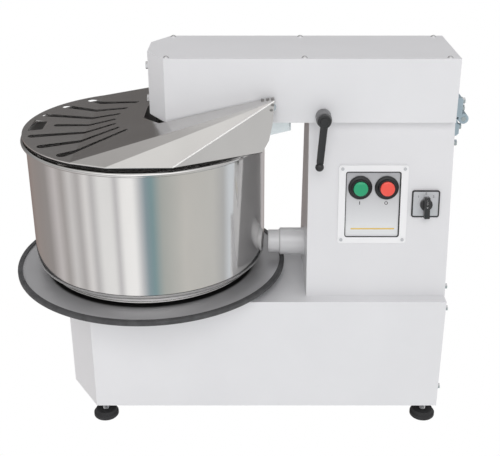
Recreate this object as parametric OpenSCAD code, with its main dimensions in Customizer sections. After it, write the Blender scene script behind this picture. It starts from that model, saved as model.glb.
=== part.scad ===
// Spiral dough mixer with a tilting head and a round bowl on a driven turntable.
// Millimetres, +Z up. The floor is z = 0, +X runs from the bowl to the hinge at the rear.
// Inside datum() every place is measured from the bowl's axis at the top of the base.

/* [Bowl and turntable] */
// Outer radius of the bowl's rolled rim
rim_r = 226; // [222:1:228]
// Outer radius of the bowl's wall
bowl_r = 217.5; // [215:0.5:219]
// Height of the rim's top above the base
rim_top = 284; // [280:1:286]
// Radius of the turntable with its rubber edge
disc_r = 257; // [250:1:265]
// Height of the turntable's top above the base
disc_top = 24; // [24:1:25]

/* [Base and feet] */
// Height of the base casing
base_h = 228; // [225:1:240]
// Width of the base casing
base_w = 277; // [270:1:290]
// Width of the base's flat front face
base_front_w = 97; // [80:1:120]
// Distance of the front face ahead of the bowl's axis
base_front = 162; // [155:1:170]
// Length of the cut corners, along X
base_cut = 57; // [40:1:70]
// Height of the feet under the base
foot_h = 39; // [36:1:45]

/* [Column] */
// Distance of the column's front face behind the bowl's axis
column_front = 294.5; // [292:0.5:296]
// Width of the column where it meets the head
column_top_w = 132; // [130:1:136]
// Width of the column where it meets the base
column_foot_w = 229; // [220:1:236]
// Height of the column
column_h = 325; // [325:1:326]
// Distance of the rear face behind the bowl's axis
rear_face = 550; // [548:1:552]

/* [Head] */
// Distance of the head's front face behind the bowl's axis
head_front = 12.5; // [11:0.5:16]
// Width of the head
head_w = 176; // [174:1:180]
// Width of the head's flat front face
head_front_w = 70; // [60:1:80]
// Length of the cut corners, along X
head_cut = 32.5; // [25:0.5:35]
// Height of the head above the split line
head_h = 113; // [112:1:116]
// Distance of the spiral's axis behind the bowl's axis
spiral_x = 121; // [120:1:122]

/* [Lid] */
// Radius of the lid's front edge
lid_r = 222.5; // [220:0.5:224]
// Height of the lid's flat front above the base
lid_z = 292.8; // [291:0.2:294]
// Rise of the lid's ramp for each unit of length
lid_slope = 0.24; // [0.23:0.01:0.25]

/* [Controls] */
// Radius of a push button's cap
button_r = 12.9; // [11:0.1:14]
// Side of the rotary switch's plate with its frame
switch_side = 50; // [44:1:52]
// Length of the clamp lever from its pivot to its ball
lever_len = 82; // [75:1:90]

/* [Hidden] */
$fn = 64;
sheet = 2;
lid_sheet_t = 1.5;
fit = 0.05;
hinge_x = 566;
knuckle_r = 9;
hinge_pin_r = 4;
head_gap = 1;
bowl_x = -(hinge_x + knuckle_r - disc_r) / 2;
base_top = base_h + foot_h;
head_z = column_h + head_gap;
head_top = column_h + head_h;
head_rear = rear_face - 3;
column_rear = rear_face - 1;
hinge_z = column_h - 1;
foot_hw = column_foot_w / 2;
top_hw = column_top_w / 2;
lean = atan((foot_hw - top_hw) / column_h);
foot_places = [for (x = [-93, 529.5]) for (y = [-111.5, 111.5]) [x, y]];
foot_r = 24;
stud_r = 6;
drive_x = 420;
drive_r = 15;
bowl_shaft_r = 20;
input_shaft_r = 12.5;
spiral_shaft_r = 17.5;
spiral_sweep_r = 72;
hook_rod_r = 10;
bar_x = 27;
bar_r = 9;
chain_half = 4;
chain_play = 0.3;
pitch = 12.7;
bowl_teeth = 60;
drive_teeth = 15;
input_teeth = 32;
spiral_teeth = 20;
chain_z = -180;
head_chain_z = column_h + 75;
motor_y = 40;
motor_z = -75;
motor_r = 62;
rotor_r = 32;
rotor_shaft_r = 9.5;
gearbox_x = 345;
worm_r = 14;
guide_z = 58.5;
clamp_x = 317;
clamp_z = 338;
tongue_y = -60;
lever_y = -121;
lever_tilt = 4.2;
panel_x = 411;
panel_s = 175;
panel_size = [124, 144];
panel_t = 3;
start_x = 387.5;
stop_x = 435;
button_s = 206.5;
switch_x = 506;
switch_s = 176.5;
knob_turn = 1;
lid_fold_x = -105;
lid_flange = 3.6;
lid_pivot = [226, 362];
apex = [232, -118, lid_z + lid_slope * (232 - lid_fold_x)];
lid_b1 = [lid_fold_x, -sqrt(lid_r * lid_r - lid_fold_x * lid_fold_x), lid_z];
lid_b2 = [-43, -218, lid_z];
lid_b3 = [65, -216, lid_z - 1.8];
lid_c = [211.3, -141, lid_z - 1.8];
bolt_r = 5;
bolt_shank_r = 3;
bolt_dome = 3;

// Radius of a sprocket's pitch circle
function pitch_r(teeth) = pitch / 2 / sin(180 / teeth);

// Half the column's width at a height above the base
function column_hw(z) = foot_hw - (foot_hw - top_hw) * z / column_h;

// Outline of a box whose two front corners are cut off, shrunk by an inset
function cut_outline(front, cut, rear, front_hw, hw, inset) =
    let (dx = cut, dy = hw - front_hw, len = norm([dx, dy]),
         px = front + dy / len * inset, py = front_hw - dx / len * inset,
         y1 = py + (front + inset - px) * dy / dx,
         x1 = px + (hw - inset - py) * dx / dy)
    [[front + inset, -y1], [x1, -hw + inset], [rear, -hw + inset],
     [rear, hw - inset], [x1, hw - inset], [front + inset, y1]];

function base_outline(inset, rear) =
    cut_outline(-base_front, base_cut, rear, base_front_w / 2, base_w / 2, inset);

function head_outline(inset, rear) =
    cut_outline(head_front, head_cut, rear, head_front_w / 2, head_w / 2, inset);

function smooth(t) = let (u = max(0, min(1, t))) u * u * (3 - 2 * u);

module datum() {
    translate([bowl_x, 0, base_top]) children();
}

// Children stand on the column's near side, +Z out of the face, +Y up its slope
module on_face(x, s) {
    translate([x, -foot_hw, 0]) rotate([90 - lean, 0, 0]) translate([0, s, 0]) children();
}

// Turns +Z towards a direction
module aim(v) {
    rotate([0, acos(v.z / norm(v)), atan2(v.y, v.x)]) children();
}

module both_sides() {
    children();
    mirror([0, 1, 0]) children();
}

module ring(r_out, r_in, h) {
    difference() {
        cylinder(r = r_out, h = h);
        translate([0, 0, -1]) cylinder(r = r_in, h = h + 2);
    }
}

module rounded_plate(size, r, h) {
    linear_extrude(h) {
        square([size.x - 2 * r, size.y], center = true);
        square([size.x, size.y - 2 * r], center = true);
        for (x = [-1, 1]) for (y = [-1, 1])
            translate([x * (size.x / 2 - r), y * (size.y / 2 - r)]) circle(r);
    }
}

// Dome-headed bolt along -Z, its head on the plane z = 0
module bolt(shank) {
    cap_r = (bolt_r * bolt_r + bolt_dome * bolt_dome) / (2 * bolt_dome);
    translate([0, 0, -shank]) cylinder(r = bolt_shank_r, h = shank + 0.5, $fn = 24);
    intersection() {
        translate([0, 0, bolt_dome - cap_r]) sphere(cap_r);
        cylinder(r = bolt_r, h = bolt_dome);
    }
}

// Bolt with a flanged hexagon head along -Z, its head on the plane z = 0
module hex_bolt(shank, r = 6.5, h = 5) {
    translate([0, 0, -shank]) cylinder(r = bolt_shank_r, h = shank + 1, $fn = 24);
    cylinder(r = r, h = 1.2);
    translate([0, 0, 1]) cylinder(r = r - 0.9, h = h, $fn = 6);
}

// Outline of an endless loop around two wheels a distance apart along X
function loop_outline(r1, r2, distance) =
    let (turn = acos((r1 - r2) / distance))
    concat([for (i = [0:40]) let (a = turn + (360 - 2 * turn) * i / 40) r1 * [cos(a), sin(a)]],
           [for (i = [0:24]) let (a = -turn + 2 * turn * i / 24)
               [distance + r2 * cos(a), r2 * sin(a)]]);

module chain(r1, r2, distance, h) {
    linear_extrude(h) difference() {
        polygon(loop_outline(r1 + chain_half, r2 + chain_half, distance));
        polygon(loop_outline(r1 - chain_half, r2 - chain_half, distance));
    }
}

module sprocket(teeth, bore, hub_r) {
    blank_r = pitch_r(teeth) - chain_half - chain_play;
    difference() {
        union() {
            translate([0, 0, -chain_half]) cylinder(r = blank_r, h = 2 * chain_half);
            translate([0, 0, -3 * chain_half]) cylinder(r = hub_r, h = 3 * chain_half);
        }
        translate([0, 0, -50]) cylinder(r = bore, h = 100);
    }
}

// Two claws of a dog coupling, 80 degrees wide each
module claws(turn, z, h) {
    translate([0, 0, z]) rotate([0, 0, turn]) intersection() {
        ring(28, 10, h);
        for (a = [0, 180]) rotate([0, 0, a - 40]) linear_extrude(h)
            polygon([[0, 0], [45, 0], [45 * cos(40), 45 * sin(40)],
                     [45 * cos(80), 45 * sin(80)]]);
    }
}

module trapezoid(x0, x1, z0, z1, inset) {
    translate([x0, 0, 0]) rotate([90, 0, 90]) linear_extrude(x1 - x0)
        polygon([[-column_hw(z0) + inset, z0], [column_hw(z0) - inset, z0],
                 [column_hw(z1) - inset, z1], [-column_hw(z1) + inset, z1]]);
}

// ---------- base ----------

module base_shell() color("whitesmoke") datum() difference() {
    translate([0, 0, -base_h]) linear_extrude(base_h) polygon(base_outline(0, rear_face));
    translate([0, 0, -base_h - 1]) linear_extrude(base_h + 1 - sheet)
        polygon(base_outline(sheet, rear_face - sheet));
    translate([0, 0, -10]) cylinder(r = 42, h = 20);
    translate([drive_x, 0, -10]) cylinder(r = 30, h = 20);
    translate([500, 60, -10]) cylinder(r = 15, h = 20);
    translate([rear_face - 10, -100, -base_h + 60]) cube([20, 200, base_h - 90]);
    for (y = [-115, 115]) for (z = [-base_h + 30, -25])
        translate([rear_face - 10, y, z]) rotate([0, 90, 0]) cylinder(r = bolt_shank_r, h = 20, $fn = 24);
    translate([rear_face - 10, 60, -base_h + 30]) rotate([0, 90, 0]) cylinder(r = 8, h = 20);
}

module base_bottom_plate() color("gainsboro") datum() difference() {
    translate([0, 0, -base_h]) linear_extrude(3) polygon(base_outline(sheet, rear_face - sheet));
    for (p = foot_places) translate([p.x, p.y, -base_h - 5]) cylinder(r = stud_r, h = 20);
    for (i = [0:7]) translate([60 + 40 * i, -45, -base_h - 5]) cube([8, 90, 20]);
}

module base_rear_cover() color("whitesmoke") datum() difference() {
    translate([rear_face, -125, -base_h + 20]) cube([sheet, 250, base_h - 30]);
    for (y = [-115, 115]) for (z = [-base_h + 30, -25])
        translate([rear_face - 10, y, z]) rotate([0, 90, 0]) cylinder(r = bolt_shank_r, h = 20, $fn = 24);
    translate([rear_face - 10, 60, -base_h + 30]) rotate([0, 90, 0]) cylinder(r = 8, h = 20);
    for (i = [0:4]) translate([rear_face - 10, -50, -base_h + 80 + 18 * i]) cube([20, 100, 6]);
}

module foot_pads() color("dimgray") datum() for (p = foot_places)
    translate([p.x, p.y, -base_h - foot_h]) difference() {
        union() {
            cylinder(r = foot_r, h = 9);
            translate([0, 0, 9]) cylinder(r1 = 21, r2 = 19, h = 7);
        }
        translate([0, 0, 6]) cylinder(r = stud_r, h = 20);
    }

module foot_studs() color("silver") datum() for (p = foot_places)
    translate([p.x, p.y, -base_h - foot_h + 6]) cylinder(r = stud_r, h = foot_h + 20);

module foot_nuts() color("silver") datum() for (p = foot_places)
    translate([p.x, p.y, -base_h - 10]) difference() {
        cylinder(r = 11, h = 10, $fn = 6);
        translate([0, 0, -1]) cylinder(r = stud_r, h = 12);
    }

module cable_gland() color("dimgray") datum() translate([rear_face, 60, -base_h + 30])
    rotate([0, 90, 0]) difference() {
        union() {
            translate([0, 0, -12]) cylinder(r = 8, h = 14);
            translate([0, 0, sheet]) cylinder(r = 12, h = 6, $fn = 6);
            translate([0, 0, sheet + 6]) cylinder(r1 = 10, r2 = 7, h = 8);
            translate([0, 0, -6]) cylinder(r = 11, h = 4, $fn = 6);
        }
        translate([0, 0, -20]) cylinder(r = 4.5, h = 60);
    }

// ---------- column ----------

module column_shell() color("whitesmoke") datum() difference() {
    trapezoid(column_front, column_rear, 0, column_h, 0);
    difference() {
        trapezoid(column_front + sheet, column_rear + 1, -30, column_h + 30, sheet / cos(lean));
        translate([0, -200, column_h - sheet]) cube([600, 400, 100]);
    }
    translate([drive_x, 0, column_h - 10]) cylinder(r = 36, h = 20);
    translate([clamp_x - 15, tongue_y, column_h - 10]) cube([30, 6, 20]);
    for (x = [start_x, stop_x]) on_face(x, button_s) translate([0, 0, -20]) cylinder(r = 11, h = 30);
    on_face(switch_x, switch_s) translate([0, 0, -20]) cylinder(r = 3.5, h = 30);
}

module column_rear_cover() color("whitesmoke") datum() difference() {
    trapezoid(column_rear, column_rear + sheet, 0, column_h, 0);
    for (p = [[-62, 281], [62, 281], [-98, 12], [98, 12]]) rear_bolt_hole(p);
    for (y = [-45, 45]) rear_bolt_hole([y, hinge_z - 18]);
}

module rear_bolt_hole(p) {
    translate([column_rear - 10, p.x, p.y]) rotate([0, 90, 0])
        cylinder(r = bolt_shank_r, h = 30, $fn = 24);
}

module rear_bolts() color("silver") datum() {
    for (p = [[-62, 281], [62, 281], [-98, 12], [98, 12]])
        translate([column_rear + sheet, p.x, p.y]) rotate([0, 90, 0]) hex_bolt(8);
    for (y = [-115, 115]) for (z = [-base_h + 30, -25])
        translate([rear_face + sheet, y, z]) rotate([0, 90, 0]) hex_bolt(8);
    for (y = [-45, 45])
        translate([560, y, hinge_z - 18]) rotate([0, 90, 0]) hex_bolt(18);
}

module column_bearing_bridge() color("darkgray") datum() difference() {
    union() {
        translate([column_front + sheet, -60, 288]) cube([170, 120, 8]);
        translate([drive_x, 0, 262]) cylinder(r = 40, h = 26);
    }
    translate([drive_x, 0, 264]) cylinder(r = 31, h = 18);
    translate([drive_x, 0, 200]) cylinder(r = drive_r + 1, h = 200);
}

module guide_boss() color("whitesmoke") datum() translate([0, 0, guide_z]) rotate([0, 90, 0]) {
    translate([0, 0, 292]) cylinder(r = 28, h = column_front - 292);
    translate([0, 0, 248]) cylinder(r = 26, h = column_front - 248);
    translate([0, 0, 246]) cylinder(r1 = 22, r2 = 26, h = 2);
    translate([0, 0, 226]) cylinder(r = 22, h = 21);
    translate([0, 0, 225]) cylinder(r1 = 21, r2 = 22, h = 1);
}

module switch_body() color("dimgray") datum() on_face(switch_x, switch_s) difference() {
    translate([-20, -20, -44]) cube([40, 40, 42]);
    translate([0, 0, -100]) cylinder(r = 3 + fit, h = 140);
}

// ---------- drive in the base ----------

module motor_housing() color("slategray") datum() translate([0, motor_y, motor_z]) rotate([0, 90, 0])
    difference() {
        union() {
            translate([0, 0, 150]) cylinder(r = motor_r, h = gearbox_x - 150);
            translate([0, 0, 125]) cylinder(r = motor_r - 4, h = 25);
            for (a = [0:20:340]) rotate([0, 0, a]) translate([motor_r - 2, -1.5, 165])
                cube([7, 3, gearbox_x - 190]);
        }
        translate([0, 0, 160]) cylinder(r = rotor_r + 0.5, h = 165);
        translate([0, 0, 129]) cylinder(r = motor_r - 8, h = 18);
        translate([0, 0, 140]) cylinder(r = rotor_shaft_r + fit, h = 250);
    }

module motor_rotor() color("goldenrod") datum() translate([0, motor_y, motor_z])
    rotate([0, 90, 0]) {
        translate([0, 0, 165]) cylinder(r = rotor_r, h = 155);
        translate([0, 0, 131]) cylinder(r = rotor_shaft_r, h = 360);
        translate([0, 0, 133]) cylinder(r = 46, h = 10);
    }

module gearbox_housing() color("slategray") datum() difference() {
    translate([gearbox_x, -50, -130]) cube([150, 124, 130 - sheet]);
    translate([gearbox_x + 5, -45, -125]) cube([140, 114, 118]);
    translate([drive_x, 0, -200]) cylinder(r = drive_r + fit, h = 300);
    translate([gearbox_x - 1, motor_y, motor_z]) rotate([0, 90, 0])
        cylinder(r = rotor_shaft_r + fit, h = 148);
}

module worm_wheel() color("goldenrod") datum() translate([drive_x, 0, motor_z - 12])
    ring(motor_y - worm_r - 0.4, drive_r, 24);

module worm() color("silver") datum() translate([drive_x - 35, motor_y, motor_z])
    rotate([0, 90, 0]) ring(worm_r, rotor_shaft_r, 70);

module bowl_bearing_housing() color("darkgray") datum() difference() {
    union() {
        translate([0, 0, -12]) cylinder(r = 75, h = 12 - sheet);
        translate([0, 0, -110]) cylinder(r = 50, h = 108);
    }
    translate([0, 0, -106]) cylinder(r = 40, h = 200);
    translate([0, 0, -200]) cylinder(r = bowl_shaft_r + 1, h = 200);
}

module shaft_bearings() color("silver") datum() {
    for (z = [-106, -20]) translate([0, 0, z]) ring(40, bowl_shaft_r + fit, 18);
    translate([drive_x, 0, 264]) ring(31, drive_r + fit, 18);
}

module bowl_chain() color("gray") datum() translate([0, 0, chain_z - chain_half])
    chain(pitch_r(bowl_teeth), pitch_r(drive_teeth), drive_x, 2 * chain_half);

module drive_shaft() color("silver") datum() translate([drive_x, 0, 0]) {
    translate([0, 0, -196]) cylinder(r = drive_r, h = 497);
    translate([0, 0, 300]) cylinder(r = 28, h = 14);
    claws(0, 314, 12);
}

module drive_sprocket() color("dimgray") datum() translate([drive_x, 0, chain_z])
    sprocket(drive_teeth, drive_r, 22);

// ---------- turntable and bowl ----------

module bowl_shaft() color("silver") datum() {
    translate([0, 0, -196]) cylinder(r = bowl_shaft_r, h = 200 + disc_top - 12);
    translate([0, 0, disc_top - 12]) cylinder(r = 80, h = 8);
}

module bowl_sprocket() color("dimgray") datum() translate([0, 0, chain_z])
    sprocket(bowl_teeth, bowl_shaft_r, 34);

module turntable_disc() color("silver") datum() {
    translate([0, 0, disc_top - 4]) cylinder(r = disc_r - 6, h = 4, $fn = 128);
    for (a = [30, 150, 270]) rotate([0, 0, a]) translate([110, 0, disc_top - 1])
        cylinder(r = 8, h = 13);
}

module disc_rubber_edge() color("black") datum() translate([0, 0, disc_top - 6])
    rotate_extrude($fn = 128) polygon([[disc_r - 9, 0], [disc_r - 2, 0], [disc_r, 2],
        [disc_r, 7], [disc_r - 2, 9], [disc_r - 9, 9], [disc_r - 9, 6], [disc_r - 6, 6],
        [disc_r - 6, 2], [disc_r - 9, 2]]);

// Half section of the bowl's wall, floor, rounded corner and rolled rim
module bowl_profile() {
    wall = 2;
    corner = 13.5;
    floor_z = disc_top + 20;
    bead = 4;
    difference() {
        union() {
            translate([0, floor_z]) square([bowl_r - corner, corner]);
            translate([bowl_r - corner, floor_z + corner]) intersection() {
                circle(corner);
                translate([0, -corner]) square(corner);
            }
            translate([0, floor_z + corner]) square([bowl_r, rim_top - floor_z - corner - bead]);
        }
        translate([0, floor_z + wall]) square([bowl_r - corner, corner]);
        translate([bowl_r - corner, floor_z + corner]) intersection() {
            circle(corner - wall);
            translate([0, -corner]) square(corner);
        }
        translate([-1, floor_z + corner]) square([bowl_r - wall + 1, 400]);
    }
    translate([bowl_r - wall, rim_top - 2]) square([rim_r - bowl_r + wall - bead, 2]);
    translate([bowl_r - wall, rim_top - 6]) square([wall, 5]);
    intersection() {
        translate([rim_r - bead, rim_top - bead]) circle(bead);
        translate([rim_r - bead, rim_top - 8]) square([10, 8]);
    }
    translate([rim_r - bead - 2, rim_top - 8]) square([2, 8]);
    translate([bowl_r - corner - 10, disc_top + 6]) square([wall, 15]);
    translate([120, disc_top]) square([14, 20.5]);
}

module bowl() color("silver") datum() rotate_extrude($fn = 128) bowl_profile();

// ---------- hinge ----------

module knuckles(spans) {
    for (s = spans) translate([hinge_x, s.x, hinge_z]) rotate([-90, 0, 0])
        cylinder(r = knuckle_r, h = s.y - s.x);
}

// A leaf's side outline, its outer corners cut
module leaf(x0, x1, y0, y1, z0, z1, cut) {
    translate([0, y1, 0]) rotate([90, 0, 0]) linear_extrude(y1 - y0)
        polygon([[x0, z0], [x1 - max(cut, 0), z0], [x1, z0 + max(cut, 0)],
                 [x1, z1 + min(cut, 0)], [x1 + min(cut, 0), z1], [x0, z1]]);
}

module hinge_lower_leaf() color("lightsteelblue") datum() difference() {
    spans = [[-39.5, -10.5], [10.5, 39.5]];
    union() {
        knuckles(spans);
        leaf(column_rear + sheet, 560, -60, 60, hinge_z - 31, hinge_z - 10, 4);
        leaf(column_rear + sheet, 556, -60, 60, hinge_z - 20, hinge_z, 0);
        for (s = spans) leaf(column_rear + sheet, 560, s.x, s.y, hinge_z - 16, hinge_z, 1);
    }
    translate([hinge_x, 100, hinge_z]) rotate([90, 0, 0]) cylinder(r = hinge_pin_r, h = 200);
    for (y = [-45, 45]) rear_bolt_hole([y, hinge_z - 18]);
}

module hinge_upper_leaf() color("lightsteelblue") datum() difference() {
    spans = [[-60, -40], [-10, 10], [40, 60]];
    union() {
        knuckles(spans);
        leaf(head_rear, 563, -60, 60, hinge_z + 10, hinge_z + 38, -3);
        for (s = spans) leaf(head_rear, 563, s.x, s.y, hinge_z + 3, hinge_z + 12, 1);
    }
    translate([hinge_x, 100, hinge_z]) rotate([90, 0, 0])
        cylinder(r = hinge_pin_r + fit, h = 200);
    for (y = [-45, 45]) for (z = [16, 29]) translate([head_rear - 5, y, hinge_z + z])
        rotate([0, 90, 0]) cylinder(r = bolt_shank_r, h = 30, $fn = 24);
}

module hinge_pin() color("silver") datum()
    translate([hinge_x, 61, hinge_z]) rotate([90, 0, 0]) cylinder(r = hinge_pin_r, h = 122);

// ---------- head ----------

module head_casing() {
    difference() {
        translate([0, 0, head_z]) linear_extrude(head_top - sheet - head_z)
            polygon(head_outline(0, head_rear));
        translate([0, 0, head_z + sheet]) linear_extrude(head_h - 4 * sheet)
            polygon(head_outline(sheet, head_rear - sheet));
        translate([0, 0, head_z + sheet]) linear_extrude(200)
            polygon(head_outline(16, head_rear - 25));
    }
    translate([head_front + sheet, -20, head_z + sheet]) cube([27, 40, 100]);
}

module head_shell() color("whitesmoke") datum() difference() {
    head_casing();
    for (x = [49, 283, 529]) for (y = [-79.5, 79.5])
        translate([x, y, head_top - 10]) cylinder(r = bolt_shank_r, h = 20, $fn = 24);
    translate([spiral_x, 0, head_z - 5]) cylinder(r = 45, h = 20);
    translate([drive_x, 0, head_z - 5]) cylinder(r = 34, h = 20);
    translate([bar_x, 0, head_z - 5]) cylinder(r = bar_r, h = 150);
    translate([clamp_x - 20, tongue_y - 4, head_z - 5]) cube([40, 14, 20]);
    for (z = [18, 79]) translate([head_front - 5, 0, head_z + z]) rotate([0, 90, 0])
        cylinder(r = bolt_shank_r, h = bar_x - bar_r - head_front + 5, $fn = 24);
    for (y = [-45, 45]) for (z = [16, 29]) translate([head_rear - 15, y, hinge_z + z])
        rotate([0, 90, 0]) cylinder(r = bolt_shank_r, h = 30, $fn = 24);
    translate([clamp_x, -70, clamp_z]) rotate([90, 0, 0]) cylinder(r = 8, h = 50);
    for (s = [-1, 1]) translate([lid_pivot.x, s * head_w / 2, lid_pivot.y]) rotate([90, 0, 0])
        translate([0, 0, -15]) cylinder(r = 5, h = 30);
}

module head_top_cover() color("whitesmoke") datum() difference() {
    translate([0, 0, head_top - sheet]) linear_extrude(sheet) polygon(head_outline(0, head_rear));
    for (x = [49, 283, 529]) for (y = [-79.5, 79.5])
        translate([x, y, head_top - 10]) cylinder(r = bolt_shank_r, h = 20, $fn = 24);
}

module head_bolts() color("silver") datum() {
    for (x = [49, 283, 529]) for (y = [-79.5, 79.5]) translate([x, y, head_top]) bolt(8);
    for (z = [18, 79]) translate([head_front, 0, head_z + z]) rotate([0, -90, 0])
        hex_bolt(bar_x - bar_r - head_front, 8, 6.5);
    for (y = [-45, 45]) for (z = [16, 29])
        translate([563, y, hinge_z + z]) rotate([0, 90, 0]) hex_bolt(20);
}

module breaker_bar() color("silver") datum()
    translate([bar_x, 0, 55]) cylinder(r = bar_r, h = head_top - 12 - 55);

module head_bearing_housings() color("darkgray") datum() {
    translate([spiral_x, 0, 0]) difference() {
        union() {
            translate([0, 0, head_z - 10]) cylinder(r = 45, h = 68);
            translate([0, 0, head_z + sheet]) cylinder(r = 58, h = 10);
        }
        translate([0, 0, head_z + 4]) cylinder(r = 36, h = 100);
        translate([0, 0, head_z - 50]) cylinder(r = spiral_shaft_r + 0.5, h = 100);
    }
    translate([drive_x, 0, 0]) difference() {
        union() {
            translate([0, 0, head_z + sheet]) cylinder(r = 42, h = 56);
            translate([0, 0, head_z + sheet]) cylinder(r = 55, h = 8);
        }
        translate([0, 0, head_z]) cylinder(r = 30, h = 19);
        translate([0, 0, head_z + 21]) cylinder(r = 26, h = 100);
        translate([0, 0, head_z]) cylinder(r = input_shaft_r + 1, h = 100);
    }
}

module head_bearings() color("silver") datum() {
    for (z = [4, 39]) translate([spiral_x, 0, head_z + z]) ring(36, spiral_shaft_r + fit, 17);
    for (z = [21, 42]) translate([drive_x, 0, head_z + z]) ring(26, input_shaft_r + fit, 15);
}

module head_chain() color("gray") datum() translate([spiral_x, 0, head_chain_z - chain_half])
    chain(pitch_r(spiral_teeth), pitch_r(input_teeth), drive_x - spiral_x, 2 * chain_half);

module input_shaft() color("silver") datum() translate([drive_x, 0, 0]) {
    translate([0, 0, head_z + 16]) cylinder(r = input_shaft_r, h = 84);
    translate([0, 0, head_z + 2]) cylinder(r = 28, h = 15);
    claws(90, head_z - 10, 12.5);
}

module input_sprocket() color("dimgray") datum() translate([drive_x, 0, head_chain_z])
    sprocket(input_teeth, input_shaft_r, 25);

module spiral_shaft() color("silver") datum() translate([spiral_x, 0, 0]) {
    translate([0, 0, 290]) cylinder(r = spiral_shaft_r, h = head_top - 15 - 290);
    translate([0, 0, 252]) cylinder(r = 24, h = 46);
}

module spiral_sprocket() color("dimgray") datum() translate([spiral_x, 0, head_chain_z])
    sprocket(spiral_teeth, spiral_shaft_r, 28);

// Centre line of the spiral at a share of its length from 0 to 1
function hook_point(u) =
    let (a = 150 + 430 * u, r = 8 + (spiral_sweep_r - 8) * smooth(u / 0.2)
         - 42 * smooth((u - 0.86) / 0.14))
    [r * cos(a), r * sin(a), 272 - 211 * (u - 0.06 * smooth(u / 0.15)) / 0.94];

// One ring of the swept rod
function hook_ring(u, sides) =
    let (p = hook_point(u), d = hook_point(u + 0.002) - hook_point(u - 0.002), t = d / norm(d),
         side = cross(t, [0, 0, 1]) / norm(cross(t, [0, 0, 1])), up = cross(side, t))
    [for (k = [0:sides - 1]) p + hook_rod_r * (cos(360 * k / sides) * side
        + sin(360 * k / sides) * up)];

module spiral_hook() color("silver") datum() translate([spiral_x, 0, 0]) {
    rings = 72;
    sides = 14;
    points = [for (i = [0:rings]) for (p = hook_ring(i / rings, sides)) p];
    walls = [for (i = [0:rings - 1]) for (k = [0:sides - 1]) let (a = i * sides + k,
        b = i * sides + (k + 1) % sides) [a, b, b + sides, a + sides]];
    ends = [[for (k = [sides - 1:-1:0]) k], [for (k = [0:sides - 1]) rings * sides + k]];
    polyhedron(points, concat(walls, ends), convexity = 6);
}

module rear_guard() color("honeydew") datum() difference() {
    rotate([90, 0, 0]) translate([0, 0, -60]) linear_extrude(120)
        polygon([[205, 288.9], [263, 303], [263, head_z], [205, head_z]]);
    rotate([90, 0, 0]) translate([0, 0, -58]) linear_extrude(116)
        polygon([[200, 270], [261, 270], [261, head_z - 2], [200, head_z - 2]]);
}

// ---------- clamp lever ----------

module clamp_boss() color("gray") datum() translate([clamp_x, -head_w / 2, clamp_z])
    rotate([90, 0, 0]) difference() {
        union() {
            cylinder(r = 13.4, h = 25);
            translate([0, 0, -8]) cylinder(r = 8, h = 10);
        }
        translate([0, 0, -20]) cylinder(r = 6 + fit, h = 60);
    }

module clamp_tongue() color("darkgray") datum()
    translate([clamp_x - 15, tongue_y, column_h - 28]) cube([30, 6, 50]);

module clamp_stud() color("silver") datum() translate([clamp_x, tongue_y - 0.3, clamp_z])
    rotate([90, 0, 0]) cylinder(r = 6, h = tongue_y - 0.3 - lever_y);

module clamp_lever() color("dimgray") datum() translate([clamp_x, lever_y, clamp_z])
    rotate([90, 0, 0]) difference() {
        union() {
            translate([0, 0, -7.5]) cylinder(r1 = 11, r2 = 11.8, h = 9.5);
            translate([0, 0, 2]) cylinder(r1 = 7.5, r2 = 6.8, h = 2);
            rotate([0, 0, -90 - lever_tilt]) {
                translate([0, -6.4, -4]) cube([lever_len - 4, 12.8, 6]);
                translate([lever_len, 0, 0]) sphere(7.6);
            }
        }
        translate([0, 0, -30]) cylinder(r = 6, h = 30);
    }

// ---------- control panel ----------

module control_panel() color("gainsboro") datum() difference() {
    on_face(panel_x, panel_s) difference() {
        rounded_plate(panel_size, 5, panel_t);
        translate([0, 0, panel_t - 0.8]) rounded_plate(panel_size - [28, 25], 3, 5);
        for (x = [-1, 1]) for (y = [-1, 1]) translate([x * (panel_size.x / 2 - 6.5),
            y * (panel_size.y / 2 - 6.5), -5]) cylinder(r = 1.5, h = 20, $fn = 24);
    }
    for (x = [start_x, stop_x]) on_face(x, button_s) translate([0, 0, -10]) cylinder(r = 11, h = 30);
}

module small_screw() {
    cylinder(r = 3, h = 1.2, $fn = 24);
    translate([0, 0, -panel_t]) cylinder(r = 1.5, h = panel_t + 0.5, $fn = 24);
}

module panel_screws() color("silver") datum() {
    on_face(panel_x, panel_s) for (x = [-1, 1]) for (y = [-1, 1])
        translate([x * (panel_size.x / 2 - 6.5), y * (panel_size.y / 2 - 6.5), panel_t]) small_screw();
}

module button_bezels() color("black") datum() for (x = [start_x, stop_x])
    on_face(x, button_s) difference() {
        union() {
            translate([0, 0, panel_t - 0.8]) cylinder(r1 = 21.5, r2 = 20, h = 9.8);
            translate([0, 0, -10]) cylinder(r = 11, h = 13);
        }
        translate([0, 0, 6]) cylinder(r = button_r + 0.2, h = 20);
        translate([0, 0, -20]) cylinder(r = 5 + fit, h = 40);
    }

module button_body() {
    translate([0, 0, 10.2]) cylinder(r = button_r, h = 5);
    translate([0, 0, 15.2]) cylinder(r1 = button_r, r2 = button_r - 2, h = 2);
    translate([0, 0, -14]) cylinder(r = 5, h = 25);
}

module start_button() color("green") datum() on_face(start_x, button_s) button_body();

module stop_button() color("red") datum() on_face(stop_x, button_s) button_body();

module switch_plate() color("gainsboro") datum() on_face(switch_x, switch_s) difference() {
    union() {
        rounded_plate([switch_side, switch_side], 3, panel_t);
        cylinder(r = 14, h = panel_t + 2);
    }
    translate([0, 0, -20]) cylinder(r = 3 + fit, h = 40);
}

module switch_knob() color("black") datum() on_face(switch_x, switch_s) rotate([0, 0, knob_turn]) {
    translate([0, 0, panel_t + 2.3]) cylinder(r = 11.1, h = 6);
    translate([-5, -23.5, panel_t + 6]) cube([10, 42, 12]);
    translate([0, 0, -30]) cylinder(r = 3, h = 34 + panel_t);
}

// ---------- lid ----------

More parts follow.
